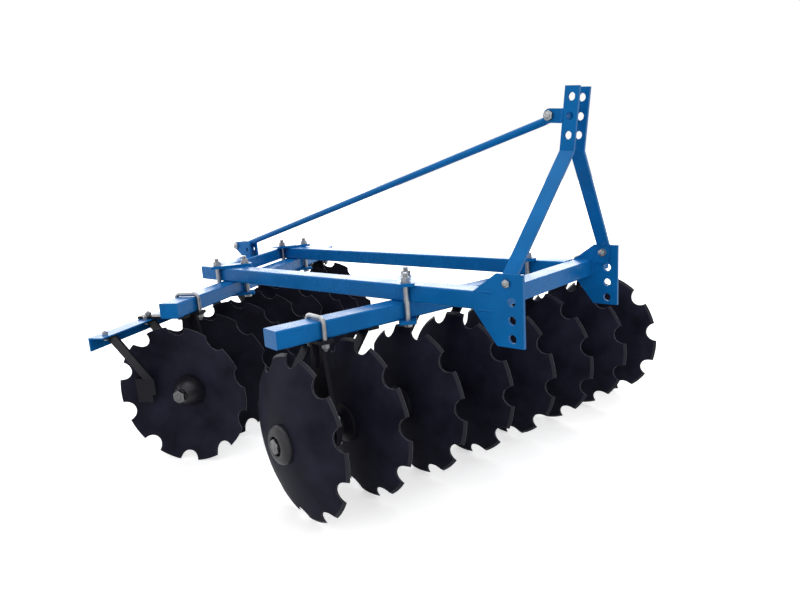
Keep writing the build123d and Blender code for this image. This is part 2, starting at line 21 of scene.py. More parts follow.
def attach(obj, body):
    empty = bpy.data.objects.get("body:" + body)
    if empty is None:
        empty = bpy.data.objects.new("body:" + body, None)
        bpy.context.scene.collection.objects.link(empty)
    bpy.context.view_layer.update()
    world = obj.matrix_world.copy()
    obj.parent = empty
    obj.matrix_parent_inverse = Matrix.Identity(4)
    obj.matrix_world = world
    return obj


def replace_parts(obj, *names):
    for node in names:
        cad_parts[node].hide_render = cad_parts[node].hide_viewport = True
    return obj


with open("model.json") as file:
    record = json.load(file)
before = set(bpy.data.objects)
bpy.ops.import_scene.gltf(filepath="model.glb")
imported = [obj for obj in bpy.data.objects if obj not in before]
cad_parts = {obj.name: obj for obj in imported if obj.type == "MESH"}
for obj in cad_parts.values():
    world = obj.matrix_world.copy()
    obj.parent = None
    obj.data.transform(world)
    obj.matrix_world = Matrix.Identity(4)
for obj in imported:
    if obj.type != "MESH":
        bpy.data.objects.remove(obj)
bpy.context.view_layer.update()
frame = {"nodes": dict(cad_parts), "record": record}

# %% [markdown]
# ## Where things are
# Lengths are millimetres on the machine, as on a drawing: x forward from the front
# crossbeam's face, y to the left from its middle, z up from the ground. Blender counts in
# metres, so one matrix moves and scales the machine frame, and every place below passes
# through it. Each gang has a frame of its own, with y along its axle; the rear gang is the
# front one's mirror image, turned the other way. Places could be given in metres on the
# slant instead, but in a part's own frame they are the numbers of its drawing.

# %% Frames and driving sizes
MACHINE = Matrix.Translation((1.0406344, -0.0275572, 0)) @ Matrix.Scale(0.001, 4)
MIRROR = Matrix.Diagonal((1, -1, 1, 1))


def move(x=0.0, y=0.0, z=0.0):
    return Matrix.Translation((x, y, z))


def turn(degrees, axis):
    return Matrix.Rotation(math.radians(degrees), 4, axis)


GANG_X, REAR_SHIFT = {"front": -340.0, "rear": -1614.0}, -2
GANG_TURN = {"front": -10.0, "rear": 26.8}
GANG = {gang: MACHINE @ move(GANG_X[gang]) @ turn(GANG_TURN[gang], "Z") for gang in GANG_X}
GANG["rear"] = GANG["rear"] @ move(0, REAR_SHIFT) @ MIRROR
MAST_FOOT_X, MAST_FOOT_Z, MAST_LEAN = 47.5, 745, 6.3
MAST = MACHINE @ move(MAST_FOOT_X, 0, MAST_FOOT_Z) @ turn(MAST_LEAN, "Y")
# heights: plates 12 mm thick hang under the gang beams, and the frame lies on these beams
AXLE_AHEAD, AXLE_Z, GANG_BOTTOM, GANG_TOP, FRAME_TOP = 8.0, 280.0, 592.0, 652.0, 712.0
UNDER_PLATES, FRAME_BOTTOM = GANG_BOTTOM - 12, GANG_TOP
# places along a gang's axle
DISC_COUNT, PITCH, ROW_SHIFT, HUB_TO_BEARING, STRAPS = 8, 238.5, -29.3, -76.5, (-500, 806)
HUBS = [ROW_SHIFT + (i - (DISC_COUNT - 1) / 2) * PITCH for i in range(DISC_COUNT)]
BEARINGS = [HUBS[i] + HUB_TO_BEARING for i in (1, DISC_COUNT - 1)]
print("hubs along an axle:", [round(h) for h in HUBS], "bearings:", BEARINGS)

# %% [markdown]
# ## How a surface is built
# Paint and plated steel are never quite even, and their edges are never quite sharp. A
# picture could be wrapped round each part, but it would need an unwrapped mesh and would
# blur close up. So each finish is a node material, computed in the object's own
# coordinates. Broad noise shifts the colour and the gloss a little, and fine noise gives
# orange peel or casting grain. A Bevel node rounds the edges in the shading alone, which
# catches the light as real sheared and rolled steel does and leaves the mesh untouched.
# Where that rounding is strong the colour is lightened towards bare steel grey: on the discs as
# paint worn thin on an edge and as a painted highlight, on the blue enamel as a painted highlight.

# %% One finish, made of nodes
BROAD_SCALE, NOISE_LOW, NOISE_HIGH = 9.0, 0.3, 0.7
# the grey of bare steel, mixed into the edges as worn paint and as a painted highlight
BARE_STEEL_AND_HIGHLIGHT = (0.3, 0.3, 0.31, 1)


def add_node(owner, kind, inputs=None, **switches):
    # the switches are set first, since they decide which inputs a node offers
    added = owner.node_tree.nodes.new("ShaderNode" + kind)
    for switch, value in switches.items():
        setattr(added, switch, value)
    for entry, value in (inputs or {}).items():
        added.inputs[entry].default_value = value
    return added


def map_range(owner, from_min, from_max, to_min, to_max):
    return add_node(owner, "MapRange", {"From Min": from_min, "From Max": from_max,
                                        "To Min": to_min, "To Max": to_max})


def finish(name, colour, rough, metal=0.0, shine=0.5, grain=400.0, bump=0.08, drift=0.12,
           edge=0.0012, gleam=(1, 1, 1), wear_and_highlight=0.0):
    made = bpy.data.materials.new(name)
    made.use_nodes = True
    link, shader = made.node_tree.links.new, made.node_tree.nodes["Principled BSDF"]
    shader.inputs["Metallic"].default_value = metal
    shader.inputs["Specular IOR Level"].default_value = shine
    shader.inputs["Specular Tint"].default_value = (*gleam, 1)
    own = add_node(made, "TexCoord")
    broad = add_node(made, "TexNoise", {"Scale": BROAD_SCALE, "Detail": 5.0})
    fine = add_node(made, "TexNoise", {"Scale": grain, "Detail": 3.0})
    for texture in (broad, fine):
        link(own.outputs["Object"], texture.inputs["Vector"])
    tint = add_node(made, "ValToRGB")
    stops = zip(tint.color_ramp.elements, (NOISE_LOW, NOISE_HIGH), (-drift, drift))
    for stop, place, change in stops:
        stop.position = place
        stop.color = (*[min(1, c * (1 + change)) for c in colour], 1)
    link(broad.outputs["Fac"], tint.inputs["Fac"])
    gloss = map_range(made, NOISE_LOW, NOISE_HIGH, rough * 0.8, rough * 1.2)
    link(broad.outputs["Fac"], gloss.inputs["Value"])
    link(gloss.outputs["Result"], shader.inputs["Roughness"])
    rounding = add_node(made, "Bevel", {"Radius": edge}, samples=4)
    relief = add_node(made, "Bump", {"Strength": bump, "Distance": 0.001})
    link(fine.outputs["Fac"], relief.inputs["Height"])
    link(rounding.outputs["Normal"], relief.inputs["Normal"])
    link(relief.outputs["Normal"], shader.inputs["Normal"])
    # an edge is where the rounded normal leaves the flat one; there the colour is lightened towards
    # bare steel grey, a painted highlight that on the discs is also worn paint
    flat = add_node(made, "NewGeometry")
    agree = add_node(made, "VectorMath", operation="DOT_PRODUCT")
    link(rounding.outputs["Normal"], agree.inputs[0])
    link(flat.outputs["Normal"], agree.inputs[1])
    worn_and_highlit = map_range(made, 0.995, 0.85, 0.0, wear_and_highlight)
    link(agree.outputs["Value"], worn_and_highlit.inputs["Value"])
    bare_and_highlight_mix = add_node(made, "Mix", {"B": BARE_STEEL_AND_HIGHLIGHT}, data_type="RGBA")
    link(worn_and_highlit.outputs["Result"], bare_and_highlight_mix.inputs["Factor"])
    link(tint.outputs["Color"], bare_and_highlight_mix.inputs["A"])
    link(bare_and_highlight_mix.outputs["Result"], shader.inputs["Base Color"])
    return made


print("broad noise changes over about", round(1 / BROAD_SCALE, 2), "m")

# %% [markdown]
# ## The ground edge of a disc
# A disc is sharpened by a bevel that is ground round its domed side, and this narrow ring
# is a little brighter than the paint. It could be a second material on picked faces, but
# that would change the mesh. The bevel is the only surface that leans about 40 degrees
# from the dome's axis, so the shader finds it by the angle of its normal.

# %% Brighten the bevel in the shader
BEVEL_COSINE, BEVEL_SPREAD = 0.76, 0.08
GROUND_COLOUR, GROUND_SHINE = (0.020, 0.020, 0.030, 1), 0.18


def grind(made, dome):
    link, shader = made.node_tree.links.new, made.node_tree.nodes["Principled BSDF"]
    paint = shader.inputs["Base Color"].links[0].from_socket
    shine = shader.inputs["Specular IOR Level"].default_value
    flat = add_node(made, "NewGeometry")
    lean = add_node(made, "VectorMath", {1: dome}, operation="DOT_PRODUCT")
    link(flat.outputs["True Normal"], lean.inputs[0])
    bevel = add_node(made, "Math", {1: BEVEL_COSINE, 2: BEVEL_SPREAD}, operation="COMPARE")
    link(lean.outputs["Value"], bevel.inputs[0])
    bright = add_node(made, "Mix", {"B": GROUND_COLOUR}, data_type="RGBA")
    link(bevel.outputs["Value"], bright.inputs["Factor"])
    link(paint, bright.inputs["A"])
    link(bright.outputs["Result"], shader.inputs["Base Color"])
    sheen = map_range(made, 0.0, 1.0, shine, GROUND_SHINE)
    link(bevel.outputs["Value"], sheen.inputs["Value"])
    link(sheen.outputs["Result"], shader.inputs["Specular IOR Level"])


print("bevel leans", round(math.degrees(math.acos(BEVEL_COSINE)), 1), "degrees from the dome")

# %% [markdown]
# ## The finishes of this machine
# The frame and the hitch are sprayed with glossy blue enamel. Discs, spools, hangers and
# scrapers are black: the rolled discs nearly dull, the castings with a coarse grain, the
# end bells with a little more shine. Screws are zinc plated, axle nuts are bare dark steel
# and seals are rubber. Each part could have a material of its own, but a factory has only
# these few, and sharing them keeps the colours alike. Only the discs need one copy for
# each gang, because the direction of their domes is part of it.

# %% Give every solid its finish
# the lightened edges of the blue enamel are a painted highlight; those of the discs are worn paint
# and a painted highlight
FINISHES = {
    "blue_paint": finish("blue_enamel", (0.004, 0.128, 0.385), 0.27, shine=0.42, bump=0.05,
                         gleam=(0.1, 0.5, 1.0), wear_and_highlight=0.12),
    "disc_paint": finish("black_disc_paint", (0.015, 0.015, 0.027), 0.42, shine=0.03,
                         grain=260, bump=0.10, drift=0.45, edge=0.0016, wear_and_highlight=0.8),
    "black_paint": finish("black_casting_paint", (0.010, 0.010, 0.015), 0.42, shine=0.12,
                          grain=520, bump=0.35, edge=0.002),
    "zinc_steel": finish("zinc_plate", (0.38, 0.39, 0.40), 0.34, metal=1.0, grain=700,
                         bump=0.3, drift=0.45),
    "dark_steel": finish("axle_nut_steel", (0.20, 0.20, 0.21), 0.30, metal=1.0, bump=0.3,
                         drift=0.4),
    "bell": finish("end_bell_casting", (0.014, 0.014, 0.019), 0.32, shine=0.45, grain=220,
                   bump=0.5),
    "rubber": finish("seal_rubber", (0.02, 0.02, 0.02), 0.7, grain=900, bump=0.1),
}
for row in frame["record"]["subparts"]:
    node = frame["nodes"][row["node"]]
    node.data.materials.clear()
    node.data.materials.append(FINISHES[row["material_slot"]])
for gang, place in GANG.items():
    ground = FINISHES["disc_paint"].copy()
    ground.name = f"{gang}_disc_paint"
    grind(ground, (place.to_3x3() @ Vector((0, -1, 0))).normalized())
    for i in range(DISC_COUNT):
        frame["nodes"][f"disc_{gang}_{i + 1}"].data.materials[0] = ground
    frame["nodes"][f"end_bells_{gang}"].data.materials[0] = FINISHES["bell"]
print("finishes:", ", ".join(FINISHES))

# %% [markdown]
# ## Turned shapes
# A washer, a shank and a nut are all a stack of rings joined by a skin. Blender's cylinder
# primitives could be joined with modifiers, but a profile that is turned about an axis
# gives the chamfers and the thread in one closed mesh, with no booleans that may fail.
# The thread is a row of ridges and not a true helix: at this size nobody can tell, and
# ridges close cleanly at both ends.

# %% Rings, washers, hexagons and threads


def skin(mesh, rings, closed=False):
    for a, b in zip(rings, rings[1:] + (rings[:1] if closed else [])):
        for i in range(len(a)):
            j = (i + 1) % len(a)
            mesh.faces.new((a[i], a[j], b[j], b[i]))
    if not closed:
        mesh.faces.new(rings[0][::-1])
        mesh.faces.new(rings[-1])


def around(mesh, place, radius, z, angle):
    corner = Vector((radius * math.cos(angle), radius * math.sin(angle), z))
    return mesh.verts.new(place @ corner)


def lathe(mesh, place, profile, sides=32, closed=False):
    # the profile is a list of (radius, height) pairs turned about the local z axis
    angles = [2 * math.pi * i / sides for i in range(sides)]
    skin(mesh, [[around(mesh, place, r, z, a) for a in angles] for r, z in profile], closed)


def hexagon(mesh, place, across, height):
    # its corners are chamfered at both ends, down to a circle just inside the flats
    inner = 0.475 * across
    rings = [[], [], [], []]
    for i in range(36):
        a = math.radians(10 * i)
        r = across / 2 / math.cos((a + math.pi / 6) % (math.pi / 3) - math.pi / 6)
        drop = (r - inner) * math.tan(math.radians(30))
        profile = (inner, 0), (r, drop), (r, height - drop), (inner, height)
        for ring, (radius, z) in zip(rings, profile):
            ring.append(around(mesh, place, radius, z, a))
    skin(mesh, rings)


def washer(mesh, place, inner, outer, thick):
    profile = [(inner, 0), (outer - 0.4, 0), (outer, 0.4), (outer, thick), (inner, thick)]
    lathe(mesh, place, profile, closed=True)


def thread(mesh, place, diameter, length, pitch=2.5):
    # ridges round a shank's end, which closes in a chamfered tip
    root, crest, tip = diameter / 2 - 0.55 * pitch, diameter / 2, 1.5
    profile = [(root, 0)]
    for i in range(int((length - 2) / pitch)):
        ridge = (crest, (i + 0.4) * pitch), (crest, (i + 0.6) * pitch)
        profile += [*ridge, (root, (i + 1) * pitch)]
    lathe(mesh, place, profile + [(root, length - tip), (root - tip, length)], sides=24)


print("turned shapes:", ", ".join(f.__name__ for f in (lathe, hexagon, washer, thread)))

# %% [markdown]
# ## A bolt and a stud
# Standard screws keep nearly the same proportions in every size, so one function draws
# them all: a hexagon head, the shank, a washer and a nut that leaves some thread free. A
# stud has thread at its other end as well. A library of ready models would do too, but
# then the grip would have to be stretched to fit, and the thread with it.

# %% Bolts and studs from their size
ACROSS, HEAD, NUT, WASHER, SUNK = 1.5, 0.65, 0.8, 0.15, 0.02


def bolt(mesh, place, size, grip, tail):
    # head below z = 0, shank through the grip, washer and nut above it
    hexagon(mesh, place @ move(z=-HEAD * size), ACROSS * size, HEAD * size)
    lathe(mesh, place, [(size / 2, -1), (size / 2, grip + 0.5 * size)], sides=24)
    thick = WASHER * size
    washer(mesh, place @ move(z=grip), 0.52 * size, 0.95 * size, thick)
    hexagon(mesh, place @ move(z=grip + thick), ACROSS * size, NUT * size)
    top = grip + thick + (NUT - SUNK) * size
    thread(mesh, place @ move(z=top), size, tail - thick + SUNK * size)


def stud(mesh, place, size, grip):
    # a rod with a nut at each end, whose thread stands out of both
    bolt(mesh, place, size, grip, tail=6)
    thread(mesh, place @ turn(180, "X") @ move(z=HEAD * size - 0.1), size, length=5)


ALONG_Y = turn(-90, "X")
print("a 20 mm bolt is", ACROSS * 20, "mm across flats, its nut", NUT * 20, "mm high")

# %% [markdown]
# ## Swept shapes
# A bent rod and a weld bead both follow a path. A curve object with a bevel depth is the
# usual way to draw a rod; here rings are set square to the path by hand, because the bead
# needs a radius that changes all along it. A bead is laid by a hand that moves in small
# steps, so it swells in ripples, wanders a little and is thinner at its two ends.

# %% Rods and weld beads


def rings_along(place, points, radius, sides):
    # rings square to a path; radius is a number or a function of the path's length
    path = [Vector(p) for p in points]
    rings, side, run = [], None, 0.0
    for i, p in enumerate(path):
        ahead = (path[min(i + 1, len(path) - 1)] - path[max(i - 1, 0)]).normalized()
        if side is None:
            side = ahead.orthogonal().normalized()
        side = (side - ahead * side.dot(ahead)).normalized()
        other = ahead.cross(side)
        run += (p - path[i - 1]).length if i else 0.0
        r = radius(run, p) if callable(radius) else radius
        angles = [2 * math.pi * k / sides for k in range(sides)]
        rings.append([place @ (p + (side * math.cos(a) + other * math.sin(a)) * r) for a in angles])
    return rings


def sweep(mesh, place, points, radius, sides):
    rings = rings_along(place, points, radius, sides)
    skin(mesh, [[mesh.verts.new(v) for v in ring] for ring in rings])


def weld(mesh, place, x, y, z, size=4.0):
    # x, y and z are each one number, or the pair that the bead runs between
    pairs = [v if isinstance(v, tuple) else (v, v) for v in (x, y, z)]
    start, end = (Vector(corner) for corner in zip(*pairs))
    length = (end - start).length
    count = max(6, int(length / 1.7))

    def swell(run, p):
        ends = min(1.0, 0.45 + min(run, length - run) / (2.0 * size))
        ripple = 0.10 * math.sin(run * 2 * math.pi / 5.2) + 0.22 * noise.noise(p * 0.11)
        return size * max(0.3, ends * (0.9 + ripple))

    sweep(mesh, place, [start.lerp(end, i / count) for i in range(count + 1)], swell, sides=8)


print("swept shapes:", ", ".join(f.__name__ for f in (sweep, weld)))

# %% [markdown]
# ## From mesh to piece
# Every added mesh has to turn or stand with the right part of the machine. Faces are
# smooth except across sharp creases, and the normals are turned outward first, since the
# skins above were closed without minding their direction.

# %% Hang a piece on its body
CREASE, BEAD_CREASE, CROWN_CREASE = 0.6, 1.2, 1.0


def piece(name, mesh, body, slot, smooth=CREASE, material=None):
    bmesh.ops.recalc_face_normals(mesh, faces=mesh.faces)
    data = bpy.data.meshes.new(name)
    mesh.to_mesh(data)
    mesh.free()
    made = bpy.data.objects.new(name, data)
    bpy.context.scene.collection.objects.link(made)
    data.materials.append(FINISHES[material or slot])
    data.polygons.foreach_set("use_smooth", [True] * len(data.polygons))
    data.set_sharp_from_angle(angle=smooth)
    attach(made, body)
    print(name, len(data.polygons), "faces")
    return made


print("creases stay sharp above", round(math.degrees(CREASE)), "degrees")

# %% [markdown]
# ## Welds on the blue frame
# The tubes, the hitch plates, the mast's bracket and the stay's lugs are joined by fillet
# welds that were painted over, so they take the blue finish. A noisy line in the bump map
# would be cheaper, but these seams stand a few millimetres proud and show against the
# light, so they are real beads, half sunk in the corner they fill.

# %% Frame welds
INNER, OUTER, PLATE = 275.0, 355.0, 343.0  # a long beam's two sides, a hitch plate's inside
CROSS_BACK, CROSS_SEAM, PLATE_SEAM = -80, (-76, -6), (-62, -4)
REAR_FACE, REAR_DEPTH, LUG_SEAM, LUG_SIDES = -1684, 89.6, (-1709, -1757), (15, 25)
BRACKET_BACK, BRACKET_SIDES, EAR_BACK, BRACKET_SEAM = -25, (32, 42), -33, (475, 514)
STRAP_SEAM, STRAP_EDGES = (-38, 38), (-20, 20)
beads = bmesh.new()
for s in (-1, 1):
    # long beam against the back of the front crossbeam
    across = s * (INNER + 3), s * (PLATE - 4)
    weld(beads, MACHINE, CROSS_BACK, across, FRAME_TOP, size=3.2)
    weld(beads, MACHINE, CROSS_BACK, s * INNER, (FRAME_BOTTOM + 5, FRAME_TOP - 5))
    weld(beads, MACHINE, CROSS_BACK, across, FRAME_BOTTOM, size=3.2)
    # hitch plate round the crossbeam's end, and down its own rear edge
    weld(beads, MACHINE, CROSS_SEAM, s * PLATE, FRAME_TOP)
    weld(beads, MACHINE, 0, s * PLATE, (FRAME_BOTTOM + 6, FRAME_TOP - 6))
    weld(beads, MACHINE, CROSS_SEAM, s * PLATE, FRAME_BOTTOM)
    weld(beads, MACHINE, CROSS_BACK, s * (OUTER - 1), (FRAME_BOTTOM + 8, FRAME_TOP - 8), size=3.0)
    for z in (FRAME_BOTTOM + 1, FRAME_TOP + 1):
        weld(beads, MACHINE, PLATE_SEAM, s * (OUTER - 1), z, size=4.5)
    # rear crossbeam between the long beams, along its two slanted edges
    front = REAR_FACE - s * INNER * math.tan(math.radians(GANG_TURN["rear"]))
    for x in (front, front - REAR_DEPTH):
        weld(beads, MACHINE, x, s * INNER, (FRAME_BOTTOM + 6, FRAME_TOP - 6))
    for z in (FRAME_BOTTOM, FRAME_TOP):
        weld(beads, MACHINE, (front - 5, front - 84), s * INNER, z)
    # lugs of the stay on the rear crossbeam, both sides of each
    for y in LUG_SIDES:
        weld(beads, MACHINE, LUG_SEAM, s * y, FRAME_TOP)
    # bracket of the stay on the mast, and its two ears
    for x, sides in ((BRACKET_BACK, BRACKET_SIDES), (EAR_BACK, LUG_SIDES)):
        for y in sides:
            weld(beads, MAST, x, s * y, BRACKET_SEAM, size=3.0)
# straps of the scraper bars under the gang beams
for gang in GANG:
    for y in STRAPS:
        for side in STRAP_EDGES:
            weld(beads, GANG[gang], STRAP_SEAM, y + side, GANG_BOTTOM, size=3.0)
piece("frame_welds", beads, "frame", "blue_paint", smooth=BEAD_CREASE)

# %% [markdown]
# ## Bolts of the frame
# Eight long bolts clamp the gang beams under the frame, so that their angle can be set.
# Two pins hold the stay, and two bolts the mast's feet. The plain hexagons of the solids
# make way for bolts with chamfered heads, washers and real thread, each in the same place
# and of the same size. Covering the plain ones would be easier, but then two surfaces
# would lie in one another and flicker.

# %% Clamp, mast and stay bolts
CLAMP_MIDDLE, CLAMP_HALF, EAR = (INNER + OUTER) / 2, 52, 25
STAY_ENDS = (MAST, -81.5, 494.7), (MACHINE, -1815, 762)
for gang, ahead in (("front", 1), ("rear", -1)):
    lean = math.radians(-GANG_TURN[gang])
    bolts = bmesh.new()
    for s in (-1, 1):
        for step in (-1, 1):
            y = s * CLAMP_MIDDLE + step * CLAMP_HALF
            x = GANG_X[gang] + y * math.tan(lean) - step * ahead * CLAMP_HALF / math.cos(lean)
            place = MACHINE @ move(x, y, UNDER_PLATES) @ turn(15 * step, "Z")
            bolt(bolts, place, size=20, grip=144, tail=18)
    made = piece(f"clamp_bolts_{gang}_detail", bolts, "frame", "zinc_steel")
    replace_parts(made, f"clamp_bolts_{gang}")

pins = bmesh.new()
for place, x, z in STAY_ENDS:
    stud(pins, place @ move(x, -EAR, z) @ ALONG_Y, size=20, grip=2 * EAR)
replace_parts(piece("stay_pins_detail", pins, "frame", "zinc_steel"), "stay_pins")
feet = bmesh.new()
for flip in (Matrix.Identity(4), MIRROR):
    place = MACHINE @ flip @ move(MAST_FOOT_X, -OUTER, MAST_FOOT_Z) @ ALONG_Y
    stud(feet, place, size=16, grip=22)
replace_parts(piece("mast_bolts_detail", feet, "frame", "zinc_steel"), "mast_bolts")

# %% [markdown]
# ## U-bolts
# A round rod is bent over each gang beam and threaded at both ends, with washers and nuts
# under the hanger's plate. The bend is a quarter circle at each corner, as a bending die
# leaves it. Straight cylinders and quarter rings would give the same form in five pieces;
# one swept path gives it in one, without seams at the joints.

# %% U-bolts
ROD, BEND, BEND_STEPS, SLACK = 8.0, 18, 8, 1.5
HALF_WIDTH, CREST, ROD_END = 40 + ROD + SLACK, GANG_TOP + ROD + SLACK, UNDER_PLATES - 12
for gang in GANG:
    hoops = bmesh.new()
    for y in BEARINGS:
        place = GANG[gang] @ move(0, y, 0)
        points = [(-HALF_WIDTH, 0, ROD_END)]
        for middle, start in ((BEND - HALF_WIDTH, 180), (HALF_WIDTH - BEND, 90)):
            for i in range(BEND_STEPS + 1):
                a = math.radians(start - i * 90 / BEND_STEPS)
                points.append((middle + BEND * math.cos(a), 0, CREST - BEND + BEND * math.sin(a)))
        points.append((HALF_WIDTH, 0, ROD_END))
        sweep(hoops, place, points, ROD, sides=20)
        for x in (-HALF_WIDTH, HALF_WIDTH):
            under = place @ move(x, 0, UNDER_PLATES) @ turn(180, "X")
            washer(hoops, under, inner=8.4, outer=15, thick=2)
            hexagon(hoops, under @ move(z=2), across=24, height=12.8)
            thread(hoops, under @ move(z=11), 2 * ROD, length=13.8, pitch=2.0)
    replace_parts(piece(f"u_bolts_{gang}_detail", hoops, "frame", "zinc_steel"), f"u_bolts_{gang}")

# %% [markdown]
# ## Hangers and bearings
# Each gang turns in two bearings. A bearing's cartridge is held to its hanger by four
# small bolts, closed by rubber seals and greased through a nipple on top, and the hanger
# itself is welded up from plate. All this sits deep between the discs and could be left
# out of the photograph's view, but the model is looked at from every side, and these are
# the pieces that tell a bearing from a plain block.

# %% Hangers and bearings
TOP_PLATE, TOP_SEAM, RIBS, RIB_SEAM = 580, (-29, 29), (-5, 5), (578, 494)
BOLT_CIRCLE, FLANGE_BACK, SEAL_FACE, NIPPLE_Y, NIPPLE_Z = 60, -8, 27.2, 23, 51
NIPPLE = [(2.6, 0), (2.6, 8), (1.9, 9.5), (3.1, 11.5), (3.1, 13), (1.6, 14.5)]
SEAL = [(36.6, 0), (43.6, 0), (43.6, 1.2), (40, 2.2), (37.6, 1.6), (36.6, 2.6)]
for gang in GANG:
    seams, small, seals = bmesh.new(), bmesh.new(), bmesh.new()
    for y in BEARINGS:
        place = GANG[gang] @ move(0, y, 0)
        for s in (-1, 1):
            weld(seams, place, TOP_SEAM, s * 8, TOP_PLATE, size=4.5)
            for x in RIBS:
                weld(seams, place, x, s * 9, RIB_SEAM, size=3.5)
                weld(seams, place, x, (s * 11, s * 23), TOP_PLATE, size=3.0)
        axle = place @ move(AXLE_AHEAD, 0, AXLE_Z)
        for i in range(4):
            a = math.radians(45 + 90 * i)
            x, z = BOLT_CIRCLE * math.cos(a), BOLT_CIRCLE * math.sin(a)
            bolt(small, axle @ move(x, FLANGE_BACK, z) @ ALONG_Y, size=9, grip=25, tail=3)
        nipple = axle @ move(0, NIPPLE_Y, NIPPLE_Z)
        hexagon(small, nipple, across=9, height=4)
        lathe(small, nipple, NIPPLE, sides=20)
        for s in (-1, 1):
            seal = axle @ move(0, s * SEAL_FACE, 0) @ turn(-90 * s, "X")
            lathe(seals, seal, SEAL, sides=48, closed=True)
    piece(f"hanger_welds_{gang}", seams, "frame", "black_paint", smooth=BEAD_CREASE)
    piece(f"bearing_bolts_{gang}", small, "frame", "zinc_steel")
    piece(f"bearing_seals_{gang}", seals, "frame", "black_paint", material="rubber")

# %% [markdown]
# ## Axle ends
# The square axle ends in a thread on each side, where a nut of darker steel with a washer
# draws the whole stack of spools and discs together. On the domed side the end bell is
# cast with a rounded crown, and the nut sits in its socket. The crown could be sculpted,
# but the pattern for such a casting is turned on a lathe, so turning its profile is both
# simpler and closer to the real thing. These pieces ride on the gang and turn with it.

# %% Axles
FIRST, LAST = HUBS[0] - 17.2, HUBS[-1] + 70.2  # outer faces of the two end bells
SQUARE = [(-15, -14), (-14, -15), (14, -15), (15, -14), (15, 14), (14, 15), (-14, 15), (-15, 14)]
CROWN = [(65.4, -14.4), (65.4, -7), (64.2, -1.5), (60.5, 4), (54, 8.4), (46, 11.2),
         (39, 12.2), (34.5, 12), (32.4, 10.4), (31.6, 7), (31.4, -0.5), (60, -7)]
NUT_SEAT, NUT_HEIGHT = 3.0, 15
THREAD_START = NUT_SEAT + NUT_HEIGHT - 0.5
for gang in GANG:
    axle, nuts, crown = bmesh.new(), bmesh.new(), bmesh.new()
    place = GANG[gang] @ move(AXLE_AHEAD, 0, AXLE_Z)
    skin(axle, [[axle.verts.new(place @ Vector((x, y, z))) for x, z in SQUARE]
                for y in (FIRST + 2, LAST - 2)])
    for y, s in ((LAST, -1), (FIRST, 1)):
        end = place @ move(0, y, 0) @ turn(90 * s, "X")
        lathe(axle, end, [(14, -4), (14, THREAD_START)])
        washer(nuts, end, inner=14.6, outer=24.5, thick=NUT_SEAT)
        hexagon(nuts, end @ move(z=NUT_SEAT), across=46, height=NUT_HEIGHT)
        thread(nuts, end @ move(z=THREAD_START), diameter=28, length=3.5, pitch=3.0)
    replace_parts(piece(f"axle_{gang}_detail", axle, f"{gang}_gang", "black_paint"), f"axle_{gang}")
    piece(f"axle_nuts_{gang}", nuts, f"{gang}_gang", "zinc_steel", material="dark_steel")
    lathe(crown, place @ move(0, FIRST, 0) @ turn(90, "X"), CROWN, sides=64, closed=True)
    piece(f"bell_crown_{gang}", crown, f"{gang}_gang", "black_paint", smooth=CROWN_CREASE,
          material="bell")

# %% [markdown]
# ## Scraper bolts and welds
# A scraper keeps soil from sticking in the hollow of each disc. One bolt clamps its foot
# under the angle iron, so that the blade can be set closer as it wears, and one bolt holds
# each strap to the same iron. Every blade is welded to its arm on both sides of the lap.
# The bolts could be instances of one mesh; as there are only twenty, each gang's are
# joined into one piece, which keeps the list of pieces short.

# %% Scraper bolts and welds
BAR_MIDDLE, SCRAPER_FOOT, FOOT_UNDER, STRAP_UNDER = -136.0, 258.0, 569, 577
LAP_EDGES, LAP_LOW, LAP_HIGH, LAP_SEAM = (-159, -135), 50.6, 51.1, (279, 337)
for gang in GANG:
    heads, laps = bmesh.new(), bmesh.new()
    for hub in HUBS:
        place = GANG[gang] @ move(BAR_MIDDLE, hub + SCRAPER_FOOT, FOOT_UNDER)
        bolt(heads, place, size=12, grip=13, tail=6)
        for x in LAP_EDGES:
            weld(laps, GANG[gang], x, (hub + LAP_LOW, hub + LAP_HIGH), LAP_SEAM, size=2.8)
    for y in STRAPS:
        bolt(heads, GANG[gang] @ move(BAR_MIDDLE, y, STRAP_UNDER), size=14, grip=15, tail=7)
    piece(f"scraper_bolts_{gang}", heads, "frame", "zinc_steel")
    piece(f"scraper_welds_{gang}", laps, "frame", "black_paint", smooth=BEAD_CREASE)

# %% [markdown]
# ## Floor
# The photograph shows the machine on plain white. A pale floor takes the soft shadows
# under the discs, so that the machine doesn't float. A shadow catcher would do this too,
# but it has to be laid over a background afterwards. So the floor glows a little, for
# camera rays only, and the more so the farther it is from the machine, until it melts into
# the white.

# %% Floor
GLOW_STARTS, GLOW_FULL, GLOW_NEAR = 1.6, 5.0, 0.55
sheet = bmesh.new()
bmesh.ops.create_grid(sheet, x_segments=8, y_segments=8, size=30)
floor_mesh = bpy.data.meshes.new("floor")
sheet.to_mesh(floor_mesh)
sheet.free()
floor = bpy.data.objects.new("floor", floor_mesh)
bpy.context.scene.collection.objects.link(floor)
pale = bpy.data.materials.new("pale_floor")
pale.use_nodes = True
link, shader = pale.node_tree.links.new, pale.node_tree.nodes["Principled BSDF"]
shader.inputs["Base Color"].default_value = (0.8, 0.8, 0.8, 1)
shader.inputs["Roughness"].default_value = 0.9
shader.inputs["Emission Color"].default_value = (1, 1, 1, 1)
seen = add_node(pale, "LightPath")
spot = add_node(pale, "NewGeometry")
far = add_node(pale, "VectorMath", operation="LENGTH")
link(spot.outputs["Position"], far.inputs[0])
fade = map_range(pale, GLOW_STARTS, GLOW_FULL, GLOW_NEAR, 1.0)
link(far.outputs["Value"], fade.inputs["Value"])
glow = add_node(pale, "Math", operation="MULTIPLY")
link(seen.outputs["Is Camera Ray"], glow.inputs[0])
link(fade.outputs["Result"], glow.inputs[1])
link(glow.outputs["Value"], shader.inputs["Emission Strength"])
